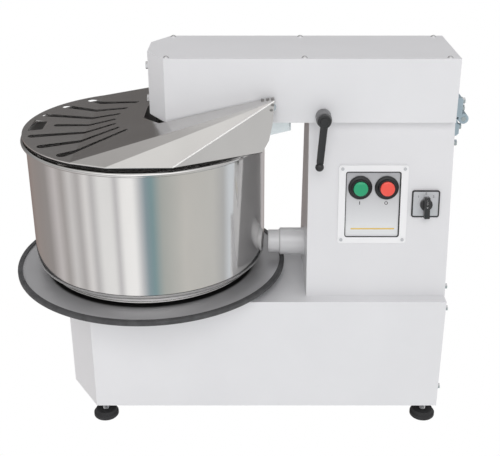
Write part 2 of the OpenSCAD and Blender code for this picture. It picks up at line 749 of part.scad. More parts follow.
// Everything below a plane through three points, moved down by an offset
module below(p, q, r, offset) {
    reach = 700;
    n = cross(q - p, r - p) * (cross(q - p, r - p).z < 0 ? -1 : 1);
    translate(p - n / norm(n) * offset) aim(n)
        translate([-reach, -reach, -reach]) cube([2 * reach, 2 * reach, reach]);
}

// Solid under the lid's folded ramp and side facets
module under_lid(offset) {
    intersection() {
        below([lid_fold_x, 0, lid_z], [lid_fold_x, 100, lid_z], apex, offset);
        below(apex, lid_b1, lid_b2, offset);
        below(apex, lid_b2, lid_b3, offset);
        below(apex, lid_b3, lid_c, offset);
        mirror([0, 1, 0]) below(apex, lid_b1, lid_b2, offset);
        mirror([0, 1, 0]) below(apex, lid_b2, lid_b3, offset);
        mirror([0, 1, 0]) below(apex, lid_b3, lid_c, offset);
    }
}

// Outline of a slot in plan that widens towards its outer end and bends at the fold
function slot_outline(outer, kink, inner, r_out, r_in) =
    let (d1 = (kink - outer) / norm(kink - outer), d2 = (inner - kink) / norm(inner - kink),
         n1 = [-d1.y, d1.x], n2 = [-d2.y, d2.x], mid = (n1 + n2) / norm(n1 + n2),
         r_mid = (r_out + 2 * r_in) / 3)
    concat([for (t = [0:30:180]) outer + r_out * (cos(t) * n1 - sin(t) * d1)],
           [kink - r_mid * mid],
           [for (t = [0:30:180]) inner - r_in * (cos(t) * n2 - sin(t) * d2)],
           [kink + r_mid * mid]);

module lid_slot(outer, kink_y, inner, r_out, r_in) {
    polygon(slot_outline(outer, [lid_fold_x, kink_y], inner, r_out, r_in));
}

module lid_slots() {
    lid_slot([-162, 0], 0, [-58, 0], 6.8, 4.2);
    for (s = [-1, 1]) {
        lid_slot([-195, 62 * s], 42 * s, [-54, 30 * s], 8, 4.3);
        lid_slot([-167, 117 * s], 90 * s, [-44, 59 * s], 8.6, 4.4);
        lid_slot([-124, 160 * s], 142 * s, [-26, 84 * s], 9.4, 4.4);
    }
    polygon([[-210, -31], [-210, 31], [-185.5, 23.5], [-185.5, -23.5]]);
}

// Plan of the turned-down edge along the lid's straight sides
function edge_plan() =
    let (t = lid_sheet_t, b1 = flat(lid_b1), b2 = flat(lid_b2), b3 = flat(lid_b3),
         n1 = inward(b1, b2), n2 = inward(b2, b3), a = atan2(b1.y, b1.x) - 2)
    [(lid_r - t / 2) * [cos(a), sin(a)], b1, b2, b3, b3 + t * n2,
     b2 + t * (n1 + n2) / (1 + n1 * n2), b1 + t * n1];

function flat(p) = [p.x, p.y];

function inward(p, q) = [p.y - q.y, q.x - p.x] / norm(q - p);

// Flat front of the lid with its turned-down edge
module lid_front() intersection() {
    translate([0, 0, lid_z]) rotate_extrude($fn = 128) polygon([[0, -lid_sheet_t],
        [lid_r - lid_sheet_t, -lid_sheet_t], [lid_r - lid_sheet_t, -lid_flange],
        [lid_r, -lid_flange], [lid_r, 0], [0, 0]]);
    translate([-lid_r - 10, -lid_r - 10, lid_z - 20])
        cube([lid_r + 10 + lid_fold_x, 2 * lid_r + 20, 30]);
}

// Folded ramp, side facets and side panels
module lid_rear() intersection() {
    difference() {
        under_lid(0);
        under_lid(lid_sheet_t);
    }
    rotate([90, 0, 0]) translate([0, 0, -300]) linear_extrude(600)
        polygon([[lid_fold_x, lid_z - lid_sheet_t], [lid_b2.x, lid_z - lid_sheet_t],
                 [lid_b3.x, lid_b3.z - 1], [lid_c.x, lid_b3.z - 1], [217, lid_z + 6],
                 [223, lid_z + 16], [229, lid_z + 43], [apex.x, apex.z - 2], [apex.x, 450],
                 [lid_fold_x, 450]]);
    translate([0, 0, 250]) linear_extrude(200)
        polygon([flat(lid_b1), flat(lid_b2), flat(lid_b3), [lid_b3.x, -300], [400, -300],
                 [400, 300], [lid_b3.x, 300], [lid_b3.x, -lid_b3.y], [lid_b2.x, -lid_b2.y],
                 [lid_b1.x, -lid_b1.y]]);
}

module lid_sheet() color("dimgray") datum() difference() {
    union() {
        lid_front();
        lid_rear();
        both_sides() intersection() {
            under_lid(0.5);
            translate([0, 0, lid_z - lid_flange]) linear_extrude(lid_flange) polygon(edge_plan());
        }
    }
    lid_cut();
    translate([0, 0, lid_z - 20]) linear_extrude(70) lid_slots();
}

// Room for the head's nose and sides
module lid_cut() {
    nose = head_front - 11.5;
    side = head_w / 2 + 3.5;
    translate([0, 0, 200]) linear_extrude(300)
        polygon([[nose, -head_front_w / 2], [nose + head_cut, -side], [400, -side],
                 [400, side], [nose + head_cut, side], [nose, head_front_w / 2]]);
}

module lid_hinge_blocks() color("silver") datum() both_sides() intersection() {
    under_lid(lid_sheet_t);
    difference() {
        union() {
            translate([lid_pivot.x, -92, lid_pivot.y]) rotate([90, 0, 0]) cylinder(r = 9, h = 22);
            translate([206, -114, lid_pivot.y - 4]) cube([26, 22, 30]);
        }
        translate([lid_pivot.x, -80, lid_pivot.y]) rotate([90, 0, 0])
            cylinder(r = 5 + fit, h = 50);
    }
}

module lid_pivot_pins() color("silver") datum() both_sides()
    translate([lid_pivot.x, -head_w / 2 + 10, lid_pivot.y]) rotate([90, 0, 0]) difference() {
        union() {
            cylinder(r = 5, h = 36);
            cylinder(r = 9, h = 8);
        }
        translate([0, 0, -1]) cylinder(r = 1.5, h = 3);
    }

module lid_screws() color("silver") datum() both_sides() {
    ramp = [-lid_slope, 0, 1];
    panel = cross(lid_b3 - apex, lid_c - apex);
    for (p = [[212, -97], [221, -100], [229, -105]])
        translate([p.x, p.y, lid_z + lid_slope * (p.x - lid_fold_x)]) aim(ramp)
            cylinder(r = 2.6, h = 2, $fn = 24);
    for (k = [0.06, 0.16]) translate(apex + k * (lid_c - apex) + 0.012 * (lid_b3 - apex))
        aim(panel) cylinder(r = 2.2, h = 2, $fn = 24);
}

base_shell();
base_bottom_plate();
base_rear_cover();
column_shell();
column_rear_cover();
rear_bolts();
foot_pads();
foot_studs();
foot_nuts();
gearbox_housing();
motor_housing();
bowl_bearing_housing();
shaft_bearings();
column_bearing_bridge();
bowl_chain();
guide_boss();
hinge_lower_leaf();
hinge_pin();
clamp_tongue();
control_panel();
panel_screws();
button_bezels();
switch_plate();
switch_body();
cable_gland();
head_shell();
head_top_cover();
head_bolts();
hinge_upper_leaf();
head_bearing_housings();
head_bearings();
head_chain();
breaker_bar();
rear_guard();
clamp_boss();
lid_pivot_pins();
lid_sheet();
lid_hinge_blocks();
lid_screws();
bowl();
turntable_disc();
disc_rubber_edge();
bowl_shaft();
bowl_sprocket();
drive_shaft();
drive_sprocket();
input_shaft();
input_sprocket();
spiral_shaft();
spiral_hook();
spiral_sprocket();
motor_rotor();
worm();
worm_wheel();
clamp_lever();
clamp_stud();
start_button();
stop_button();
switch_knob();
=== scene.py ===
import math

import bmesh
import bpy
from mathutils import Matrix, Vector

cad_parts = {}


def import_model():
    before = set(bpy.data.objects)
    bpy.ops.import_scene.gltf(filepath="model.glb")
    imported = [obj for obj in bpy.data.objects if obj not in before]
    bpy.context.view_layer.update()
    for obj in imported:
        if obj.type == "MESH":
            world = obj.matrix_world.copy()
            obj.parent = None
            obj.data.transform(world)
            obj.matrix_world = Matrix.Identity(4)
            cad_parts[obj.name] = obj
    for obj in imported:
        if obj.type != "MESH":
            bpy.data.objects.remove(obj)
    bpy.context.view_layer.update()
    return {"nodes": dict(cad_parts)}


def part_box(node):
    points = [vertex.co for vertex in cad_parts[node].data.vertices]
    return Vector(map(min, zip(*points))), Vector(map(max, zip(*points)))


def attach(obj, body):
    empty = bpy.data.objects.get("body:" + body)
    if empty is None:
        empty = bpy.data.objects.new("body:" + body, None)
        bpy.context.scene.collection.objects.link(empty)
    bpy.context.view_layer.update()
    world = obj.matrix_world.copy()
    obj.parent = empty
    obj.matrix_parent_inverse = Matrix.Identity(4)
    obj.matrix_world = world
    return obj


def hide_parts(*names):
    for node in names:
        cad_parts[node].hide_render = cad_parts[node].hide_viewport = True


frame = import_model()
NODES = frame["nodes"]

# ---------- places ----------

MM = 1000  # millimetres in a metre
BOWL_LO, BOWL_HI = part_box("bowl")
BOWL_X = (BOWL_LO[0] + BOWL_HI[0]) / 2
BASE_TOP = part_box("base_shell")[1][2]

# The column's half width at its foot and at its top, and its height, in mm
COLUMN_FOOT, COLUMN_TOP, COLUMN_HEIGHT = 114.5, 66, 325
LEAN = math.atan((COLUMN_FOOT - COLUMN_TOP) / COLUMN_HEIGHT)


def P(x, y, z):
    """Millimetres from the bowl's axis at the base's top, as metres in the row frame."""
    return Vector((BOWL_X + x / MM, y / MM, BASE_TOP + z / MM))


def on_face(x, s, h=0.0):
    """Matrix of a place on the controls' side of the column: X along it, Y up its slope, Z out of it."""
    rot = Matrix.Rotation(math.pi / 2 - LEAN, 4, "X")
    y = -COLUMN_FOOT + s * math.sin(LEAN) - h * math.cos(LEAN)
    z = s * math.cos(LEAN) + h * math.sin(LEAN)
    return Matrix.Translation(P(x, y, z)) @ rot


# ---------- mesh helpers ----------
# Outlines and profiles are in mm. A profile is a list of (radius, height along the axis).

ROUND_ANGLE = 32  # edges sharper than this, in degrees, stay sharp on turned pieces and bands
AXIS = P(0, 0, 0)  # foot of the bowl's axis on the base's top


def link(name, mesh, body, replaces=(), mat=None):
    """Puts a mesh in the scene as a piece that rides on a body."""
    obj = bpy.data.objects.new(name, mesh)
    bpy.context.scene.collection.objects.link(obj)
    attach(obj, body)
    if replaces:
        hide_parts(*replaces)
    if mat:
        mesh.materials.append(mat)
    return obj


def smooth(mesh, angle):
    """Smooth shading with the edges sharper than an angle kept sharp."""
    bm = bmesh.new()
    bm.from_mesh(mesh)
    bmesh.ops.recalc_face_normals(bm, faces=bm.faces)
    for f in bm.faces:
        f.smooth = True
    limit = math.radians(angle)
    for e in bm.edges:
        e.smooth = len(e.link_faces) == 2 and e.calc_face_angle(0) < limit
    bm.to_mesh(mesh)
    bm.free()


def to_mesh(bm, name):
    """The mesh of a bmesh, which is freed."""
    mesh = bpy.data.meshes.new(name)
    bm.to_mesh(mesh)
    bm.free()
    return mesh


def close_strip(bm, a, b):
    """Faces between two closed rows of vertices."""
    n = len(a)
    for i in range(n):
        j = (i + 1) % n
        bm.faces.new((a[i], a[j], b[j], b[i]))


def fillet(points, radii, n=5, closed=False):
    """A 2D outline with its corners rounded."""
    out = []
    count = len(points)
    for i, p in enumerate(points):
        r = radii[i] if isinstance(radii, (list, tuple)) else radii
        if r <= 0 or (not closed and i in (0, count - 1)):
            out.append(tuple(p))
            continue
        p = Vector(p)
        a = Vector(points[i - 1]) - p
        b = Vector(points[(i + 1) % count]) - p
        half = a.angle(b) / 2
        if half > math.radians(89):  # so nearly straight that there is nothing to round
            out.append(tuple(p))
            continue
        t = min(r / math.tan(half), a.length * 0.49, b.length * 0.49)
        r = t * math.tan(half)
        centre = p + (a.normalized() + b.normalized()).normalized() * (r / math.sin(half))
        s = p + a.normalized() * t - centre
        e = p + b.normalized() * t - centre
        turn = s.angle(e)
        for k in range(n + 1):
            w = k / n
            q = s * math.sin((1 - w) * turn) / math.sin(turn) + e * math.sin(w * turn) / math.sin(turn)
            out.append(tuple(centre + q))
    return out


def rect(w, h, r, n=5, cx=0, cy=0):
    """A rectangle's outline with rounded corners."""
    pts = [(cx - w / 2, cy - h / 2), (cx + w / 2, cy - h / 2),
           (cx + w / 2, cy + h / 2), (cx - w / 2, cy + h / 2)]
    return fillet(pts, r, n, closed=True)


def circle(r, n=32):
    return [(r * math.cos(2 * math.pi * k / n), r * math.sin(2 * math.pi * k / n)) for k in range(n)]


def lathe_mesh(name, profile, place, segments=96, axis="Z"):
    """Turns a profile round the Z or X axis through a place, a point or a matrix."""
    bm = bmesh.new()
    rings = []
    for k in range(segments):
        a = 2 * math.pi * k / segments
        ring = []
        for r, h in profile:
            u, v, w = r / MM * math.cos(a), r / MM * math.sin(a), h / MM
            ring.append(bm.verts.new((u, v, w) if axis == "Z" else (w, u, v)))
        rings.append(ring)
    m = len(profile)
    for k in range(segments):
        p, q = rings[k], rings[(k + 1) % segments]
        for i in range(m):
            j = (i + 1) % m
            if profile[i][0] < 1e-6 and profile[j][0] < 1e-6:  # both on the axis
                continue
            bm.faces.new((p[i], q[i], q[j], p[j]))
    bmesh.ops.remove_doubles(bm, verts=bm.verts, dist=1e-7)
    bmesh.ops.dissolve_degenerate(bm, edges=bm.edges, dist=1e-8)
    matrix = place if isinstance(place, Matrix) else Matrix.Translation(place)
    bmesh.ops.transform(bm, matrix=matrix, verts=bm.verts)
    mesh = to_mesh(bm, name)
    smooth(mesh, ROUND_ANGLE)
    return mesh


def prism_mesh(name, outline, z0, z1, matrix, round_by=0.0):
    """An (x, y) outline raised from z0 to z1, with its edges rounded."""
    bm = bmesh.new()
    low = [bm.verts.new((x / MM, y / MM, z0 / MM)) for x, y in outline]
    high = [bm.verts.new((x / MM, y / MM, z1 / MM)) for x, y in outline]
    bm.faces.new(list(reversed(low)))
    bm.faces.new(high)
    close_strip(bm, low, high)
    bmesh.ops.recalc_face_normals(bm, faces=bm.faces)
    if round_by > 0:
        edges = [e for e in bm.edges if e.calc_face_angle(0) > math.radians(40)]
        bmesh.ops.bevel(bm, geom=edges, offset=round_by / MM, segments=3, profile=0.5,
                        affect="EDGES", clamp_overlap=True)
    bmesh.ops.transform(bm, matrix=matrix, verts=bm.verts)
    mesh = to_mesh(bm, name)
    smooth(mesh, 35)
    return mesh


def band_mesh(name, outer, inner, z0, z1, matrix):
    """A flat frame between two outlines with the same number of points."""
    bm = bmesh.new()
    rows = []
    for pts, z in ((outer, z0), (outer, z1), (inner, z1), (inner, z0)):
        rows.append([bm.verts.new((x / MM, y / MM, z / MM)) for x, y in pts])
    for k in range(4):
        close_strip(bm, rows[k], rows[(k + 1) % 4])
    bmesh.ops.recalc_face_normals(bm, faces=bm.faces)
    bmesh.ops.transform(bm, matrix=matrix, verts=bm.verts)
    mesh = to_mesh(bm, name)
    smooth(mesh, ROUND_ANGLE)
    return mesh


def join(name, meshes):
    """Several meshes as one."""
    bm = bmesh.new()
    for m in meshes:
        bm.from_mesh(m)
    return to_mesh(bm, name)


def round_edges(obj, width):
    """Rounds a CAD node's sharp edges with a modifier, by a width in mm."""
    m = obj.modifiers.new("round", "BEVEL")
    m.width = width / MM
    m.segments = 3
    m.limit_method = "ANGLE"
    m.angle_limit = math.radians(30)
    m.harden_normals = False


# ---------- shader helpers ----------


def map_range(nt, value, start, end, low=0.0, high=1.0):
    """A value that runs from start to end, as one that runs from low to high."""
    n = nt.nodes.new("ShaderNodeMapRange")
    n.inputs["From Min"].default_value = start
    n.inputs["From Max"].default_value = end
    n.inputs["To Min"].default_value = low
    n.inputs["To Max"].default_value = high
    nt.links.new(value, n.inputs["Value"])
    return n.outputs["Result"]


def colour_ramp(nt, factor, stops):
    """Colours along a factor. A stop is a place and a colour, and a lone number is a grey."""
    n = nt.nodes.new("ShaderNodeValToRGB")
    elements = n.color_ramp.elements
    while len(elements) < len(stops):
        elements.new(0.5)
    for element, (place, tone) in zip(elements, stops):
        element.position = place
        element.color = (*tone, 1) if isinstance(tone, tuple) else (tone, tone, tone, 1)
    nt.links.new(factor, n.inputs["Fac"])
    return n.outputs["Color"]


def mix_colours(nt, factor, a, b):
    """Colour a where the factor is 0 and b where it is 1. Each is a colour or a socket."""
    n = nt.nodes.new("ShaderNodeMix")
    n.data_type = "RGBA"
    nt.links.new(factor, n.inputs["Factor"])
    for key, colour in (("A", a), ("B", b)):
        if isinstance(colour, tuple):
            n.inputs[key].default_value = (*colour, 1)
        else:
            nt.links.new(colour, n.inputs[key])
    return n.outputs["Result"]


def mix_shaders(nt, factor, a, b):
    """Shader a where the factor is 0 and b where it is 1."""
    n = nt.nodes.new("ShaderNodeMixShader")
    for k, socket in enumerate((factor, a, b)):
        nt.links.new(socket, n.inputs[k])
    return n.outputs[0]


def background(nt, strength, colour):
    """A world background. Its colour is a colour or a socket."""
    n = nt.nodes.new("ShaderNodeBackground")
    n.inputs["Strength"].default_value = strength
    if isinstance(colour, tuple):
        n.inputs["Color"].default_value = (*colour, 1)
    else:
        nt.links.new(colour, n.inputs["Color"])
    return n.outputs[0]


class Mat:
    """A node material built step by step round one Principled shader."""

    def __init__(self, name, **values):
        self.m = bpy.data.materials.new(name)
        self.m.use_nodes = True
        self.nt = self.m.node_tree
        self.bsdf = self.nt.nodes["Principled BSDF"]
        for key, value in values.items():
            self.bsdf.inputs[key.replace("_", " ")].default_value = value
        self.coord = self.nt.nodes.new("ShaderNodeTexCoord").outputs["Object"]

    def noise(self, scale, stretch=(1, 1, 1), detail=4.0, rough=0.55):
        mapping = self.nt.nodes.new("ShaderNodeMapping")
        mapping.inputs["Scale"].default_value = stretch
        self.nt.links.new(self.coord, mapping.inputs["Vector"])
        n = self.nt.nodes.new("ShaderNodeTexNoise")
        n.inputs["Scale"].default_value = scale
        n.inputs["Detail"].default_value = detail
        n.inputs["Roughness"].default_value = rough
        self.nt.links.new(mapping.outputs["Vector"], n.inputs["Vector"])
        return n.outputs["Fac"]

    def mottle(self, noise, start, dark, end, light):
        """Lets the colour vary softly between two tones."""
        self.to("Base Color", colour_ramp(self.nt, noise, [(start, dark), (end, light)]))

    def roughness(self, noise, low, high, start=0.0, end=1.0):
        self.to("Roughness", map_range(self.nt, noise, start, end, low, high))

    def bump(self, height, strength, distance):
        """Adds a bump over the ones that are there. The distance is in metres."""
        n = self.nt.nodes.new("ShaderNodeBump")
        n.inputs["Strength"].default_value = strength
        n.inputs["Distance"].default_value = distance
        self.nt.links.new(height, n.inputs["Height"])
        last = self.bsdf.inputs["Normal"]
        if last.is_linked:
            self.nt.links.new(last.links[0].from_socket, n.inputs["Normal"])
        self.nt.links.new(n.outputs["Normal"], last)

    def to(self, key, socket):
        self.nt.links.new(socket, self.bsdf.inputs[key])


def times(colour, factor):
    return tuple(c * factor for c in colour)


# ---------- materials ----------


def paint(name, color, rough=0.34, grain=900.0, depth=0.00008):
    """Powder coat: faint mottling, fine orange peel and a slight waviness."""
    m = Mat(name, Roughness=rough, Specular_IOR_Level=0.5, Coat_Weight=0.25, Coat_Roughness=0.12)
    m.mottle(m.noise(7, detail=5), 0.3, times(color, 0.975), 0.7, times(color, 1.01))
    m.roughness(m.noise(40, detail=3), rough - 0.05, rough + 0.07)
    m.bump(m.noise(grain, detail=2), 0.12, depth)
    m.bump(m.noise(90, detail=1), 0.05, 0.0003)
    return m.m


def steel(name, color, rough, lines, depth, spread=0.06, wave=0.0, metal=1.0):
    """Brushed steel. Lines says how fine the brush marks are along X, Y and Z."""
    m = Mat(name, Metallic=metal)
    m.mottle(m.noise(9, stretch=(1, 1, 0.4), detail=5), 0.35, times(color, 0.94), 0.65, color)
    brush = m.noise(1, stretch=lines, detail=6, rough=0.7)
    m.roughness(brush, rough - spread, rough + spread, 0.25, 0.75)
    if depth:
        m.bump(brush, 0.25, depth)
    if wave:
        m.bump(m.noise(5, stretch=(1, 1, 0.35), detail=2), 0.4, wave)
    return m.m


def rubber(name, color=(0.018, 0.018, 0.019), rough=0.62):
    m = Mat(name, Specular_IOR_Level=0.35)
    m.mottle(m.noise(60, detail=6), 0.3, color, 0.75, times(color, 1.9))
    m.roughness(m.noise(120, detail=4), rough - 0.1, rough + 0.12)
    m.bump(m.noise(1400, detail=3), 0.25, 0.0001)
    return m.m


def plastic(name, color, rough, coat=0.0):
    m = Mat(name, Specular_IOR_Level=0.5, Coat_Weight=coat, Coat_Roughness=0.08)
    m.mottle(m.noise(30, detail=4), 0.3, times(color, 0.9), 0.7, color)
    m.roughness(m.noise(160, detail=3), rough - 0.05, rough + 0.08)
    m.bump(m.noise(700, detail=2), 0.12, 0.00006)
    return m.m


def casting(name, color, rough=0.45):
    """Painted or bare cast metal, with a coarse grain."""
    m = Mat(name, Metallic=0.35)
    m.mottle(m.noise(25, detail=6), 0.3, times(color, 0.82), 0.7, color)
    m.roughness(m.noise(70, detail=4), rough - 0.1, rough + 0.12)
    m.bump(m.noise(500, detail=4), 0.3, 0.0002)
    return m.m


WHITE = paint("white_powder_coat", (0.80, 0.80, 0.815))
WHITE_TOP = paint("white_powder_coat_cover", (0.79, 0.79, 0.805), rough=0.35)
BOSS_PAINT = paint("guide_grey", (0.80, 0.80, 0.81), rough=0.35)
PANEL_WHITE = paint("panel_white", (0.92, 0.92, 0.93), rough=0.4, grain=1500, depth=0.00003)
PANEL_GREY = paint("panel_plate", (0.80, 0.81, 0.82), rough=0.4, grain=1500, depth=0.00003)

BOWL_STEEL = steel("bowl_stainless", (0.60, 0.59, 0.58), 0.09, (3, 3, 1400), 0.00002,
                   spread=0.03, wave=0.0005)
BOWL_INSIDE = steel("bowl_inside_stainless", (0.62, 0.61, 0.60), 0.34, (3, 3, 900), 0.00001,
                    spread=0.04, metal=0.7)
LID_STEEL = steel("lid_stainless", (0.66, 0.65, 0.64), 0.22, (10, 700, 10), 0.00002,
                  spread=0.04, wave=0.0004)
# The lid's folds are near white and little metallic: a painted highlight along the creases
FOLD_HIGHLIGHT = steel("fold_painted_highlight", (0.97, 0.96, 0.95), 0.36, (80, 80, 80), 0.000004, metal=0.3)
DISC_STEEL = steel("disc_stainless", (0.62, 0.62, 0.635), 0.34, (3, 3, 900), 0, spread=0.03, metal=0.66)
TOOL_STEEL = steel("tool_stainless", (0.62, 0.61, 0.60), 0.2, (300, 300, 20), 0.00003)
BRIGHT = steel("bright_screw_steel", (0.66, 0.66, 0.67), 0.2, (200, 200, 200), 0.00002)
DARK_SCREW = steel("dark_screw_steel", (0.30, 0.295, 0.29), 0.36, (200, 200, 200), 0.00002)
ZINC = steel("zinc_sheet", (0.55, 0.56, 0.57), 0.34, (30, 30, 30), 0.00006)
DARK_STEEL = steel("oiled_steel", (0.22, 0.22, 0.23), 0.34, (120, 120, 300), 0.00005)
BRONZE = steel("bronze", (0.62, 0.40, 0.18), 0.25, (60, 60, 400), 0.00005)

BLACK_RUBBER = rubber("black_rubber")
EDGE_RUBBER = rubber("edge_rubber", (0.048, 0.048, 0.05), rough=0.5)

HINGE_CAST = casting("blue_grey_casting", (0.42, 0.52, 0.58))
GREY_CAST = casting("grey_casting", (0.20, 0.22, 0.24))
CLAMP_GREY = casting("clamp_grey", (0.20, 0.20, 0.205), rough=0.38)
SILVER = casting("silver_plate", (0.66, 0.67, 0.69), rough=0.35)

BLACK = plastic("black_plastic", (0.016, 0.016, 0.017), 0.34, coat=0.4)
BLACK_SATIN = plastic("black_satin_plastic", (0.02, 0.02, 0.021), 0.38)
BEZEL_BLACK = plastic("bezel_black", (0.006, 0.006, 0.007), 0.42)
GREEN = plastic("green_cap", (0.012, 0.37, 0.17), 0.36, coat=0.3)
RED = plastic("red_cap", (0.97, 0.10, 0.07), 0.36, coat=0.3)
GOLD = plastic("gold_print", (0.80, 0.58, 0.15), 0.4)
INK = plastic("black_print", (0.02, 0.02, 0.022), 0.35)
CLEAR = plastic("clear_sheet", (0.80, 0.86, 0.88), 0.08)
CLEAR_SHADER = CLEAR.node_tree.nodes["Principled BSDF"]
CLEAR_SHADER.inputs["Transmission Weight"].default_value = 0.75
CLEAR_SHADER.inputs["IOR"].default_value = 1.02  # thin sheet: light passes nearly straight


def height(nt):
    """Height on the object, in metres."""
    sep = nt.nodes.new("ShaderNodeSeparateXYZ")
    nt.links.new(nt.nodes.new("ShaderNodeTexCoord").outputs["Object"], sep.inputs[0])
    return sep.outputs["Z"]


def reach(nt):
    """Distance from the bowl's axis, in metres."""
    flat = nt.nodes.new("ShaderNodeVectorMath")
    flat.operation = "MULTIPLY"
    flat.inputs[1].default_value = (1, 1, 0)
    nt.links.new(nt.nodes.new("ShaderNodeTexCoord").outputs["Object"], flat.inputs[0])
    far = nt.nodes.new("ShaderNodeVectorMath")
    far.operation = "DISTANCE"
    far.inputs[1].default_value = (BOWL_X, 0, 0)
    nt.links.new(flat.outputs["Vector"], far.inputs[0])
    return far.outputs["Value"]


def tint(material, measure, start, end, below=None, above=None):
    """Fades a material's colour to another tone below the start or above the end of a measure."""
    nt = material.node_tree
    base = nt.nodes["Principled BSDF"].inputs["Base Color"]
    own = base.links[0].from_socket
    factor = map_range(nt, measure(nt), start, end)
    nt.links.new(mix_colours(nt, factor, below or own, above or own), base)


# The lid's turned-down edge is painted near black below the sheet of its flat front: painted shade for the
# dark gap between the lid and the bowl's rim
tint(LID_STEEL, height, BASE_TOP + 0.2906, BASE_TOP + 0.2912, below=(0.02, 0.02, 0.02))
# Painted shadow: the disc is painted dark under the bowl, out to just past the bowl's outer ring, as the
# bowl's shade on it
tint(DISC_STEEL, reach, 0.198, 0.203, below=(0.035, 0.034, 0.034))
# The panel's plate fades to grey towards its top
tint(PANEL_GREY, height, BASE_TOP + 0.130, BASE_TOP + 0.232, above=(0.46, 0.46, 0.48))

# Every CAD node's finish
FINISH = {
    WHITE: "base_shell base_rear_cover column_shell column_rear_cover head_shell",
    WHITE_TOP: "head_top_cover",
    BOSS_PAINT: "guide_boss",
    PANEL_WHITE: "control_panel switch_plate",
    SILVER: "panel_screws",
    BRIGHT: "rear_bolts head_bolts foot_studs hinge_pin clamp_stud shaft_bearings head_bearings"
            " lid_pivot_pins lid_hinge_blocks",
    DARK_SCREW: "lid_screws",
    ZINC: "base_bottom_plate foot_nuts clamp_tongue",
    DARK_STEEL: "worm bowl_chain head_chain bowl_sprocket drive_sprocket input_sprocket spiral_sprocket"
                " drive_shaft input_shaft bowl_shaft motor_rotor",
    BRONZE: "worm_wheel",
    BLACK_RUBBER: "foot_pads",
    EDGE_RUBBER: "disc_rubber_edge",
    GREY_CAST: "gearbox_housing motor_housing bowl_bearing_housing column_bearing_bridge"
               " head_bearing_housings clamp_boss",
    HINGE_CAST: "hinge_lower_leaf hinge_upper_leaf",
    BOWL_STEEL: "bowl",
    DISC_STEEL: "turntable_disc",
    TOOL_STEEL: "spiral_shaft spiral_hook breaker_bar",
    LID_STEEL: "lid_sheet",
    BLACK: "button_bezels switch_knob",
    BLACK_SATIN: "switch_body clamp_lever cable_gland",
    CLEAR: "rear_guard",
    GREEN: "start_button",
    RED: "stop_button",
}
for finish, names in FINISH.items():
    for node in names.split():
        cad = NODES[node]
        if not cad.data.materials:
            cad.data.materials.append(finish)
        for slot in cad.material_slots:
            slot.link = "OBJECT"
            slot.material = finish

# Folded sheet edges and the edges of castings and nuts are round, by a width in mm
EDGE_WIDTHS = {
    "base_shell": 1.6, "column_shell": 1.6, "head_shell": 1.6, "head_top_cover": 0.9,
    "base_rear_cover": 0.7, "column_rear_cover": 0.7, "hinge_lower_leaf": 1.2,
    "hinge_upper_leaf": 1.2, "lid_sheet": 0.6, "lid_hinge_blocks": 0.6,
    "gearbox_housing": 2.5, "foot_nuts": 0.6,
}
for node, edge_width in EDGE_WIDTHS.items():
    round_edges(NODES[node], edge_width)

# ---------- bowl, turntable, boss ----------


def bowl_piece():
    """The bowl with its rolled rim, the outer ring under it, and the inner ring that it stands on."""
    wall, rim, bead, top, floor_z, corner, sheet = 217.5, 226, 4, 284, 44, 13.5, 2
    inner = wall - sheet
    prof = fillet([(0.0, floor_z), (wall, floor_z), (wall, top - 8.2)], [0, corner, 0], 14)
    prof += [(wall + 1.2, top - 8.0)]
    for k in range(13):
        a = math.radians(-100 + 190 * k / 12)
        prof.append((rim - bead + bead * math.cos(a), top - bead + bead * math.sin(a)))
    prof += fillet([(rim - bead - 1, top), (inner, top), (inner, top - 20)], [0, 3, 0], 6)[1:]
    inside = [(inner, top - 21), (inner, floor_z + sheet), (0, floor_z + sheet)]
    prof += fillet(inside, [0, corner - sheet, 0], 12)[1:]
    bowl = lathe_mesh("bowl_body", prof, AXIS, 256)
    outer_ring = [(194, 45), (194, 30), (197.4, 30), (197.4, 33.2), (195.6, 33.2), (195.6, 45)]
    outer_ring = fillet(outer_ring, [0, 0.9, 1.5, 1.5, 0.3, 0], 5)
    inner_ring = fillet([(120, 45), (120, 24.1), (134, 24.1), (134, 45)], [0, 1, 1, 0], 4)
    outer_ring = lathe_mesh("bowl_ring", outer_ring, AXIS, 256)
    inner_ring = lathe_mesh("bowl_foot", inner_ring, AXIS, 128)
    mesh = join("bowl_full", [bowl, outer_ring, inner_ring])
    link("bowl_full", mesh, "bowl_and_turntable", ["bowl"], BOWL_STEEL)
    mesh.materials.append(BOWL_INSIDE)
    for face in mesh.polygons:
        out = (face.center - AXIS) * MM
        if math.hypot(out.x, out.y) < wall - 0.9 and out.z > floor_z + 1.5:
            face.material_index = 1


def disc_pieces():
    """The turntable's plate, with three studs inside the bowl's inner ring, and its rubber edge."""
    r = 256.9
    low, high = 20, 24
    edge = [(r - 9, high), (r - 6, high), (r - 6, low), (r - 9, low),
            (r - 9, 18), (r, 18), (r, 27), (r - 9, 27)]
    mesh = lathe_mesh("disc_edge", fillet(edge, [0, 0, 0, 0, 0.6, 2.6, 2.6, 1.2], 5), AXIS, 256)
    link("disc_edge", mesh, "bowl_and_turntable", ["disc_rubber_edge"], EDGE_RUBBER)
    parts = [lathe_mesh("disc_plate", [(0, high), (0, low), (r - 6, low), (r - 6, high)], AXIS, 256)]
    stud = fillet([(0, 23.5), (8, 23.5), (8, 36), (0, 36)], [0, 0, 1.5, 0], 4)
    for a in (30, 150, 270):
        at = P(110 * math.cos(math.radians(a)), 110 * math.sin(math.radians(a)), 0)
        parts.append(lathe_mesh("stud", stud, at, 32))
    mesh = join("disc_top", parts)
    link("disc_top", mesh, "bowl_and_turntable", ["turntable_disc"], DISC_STEEL)


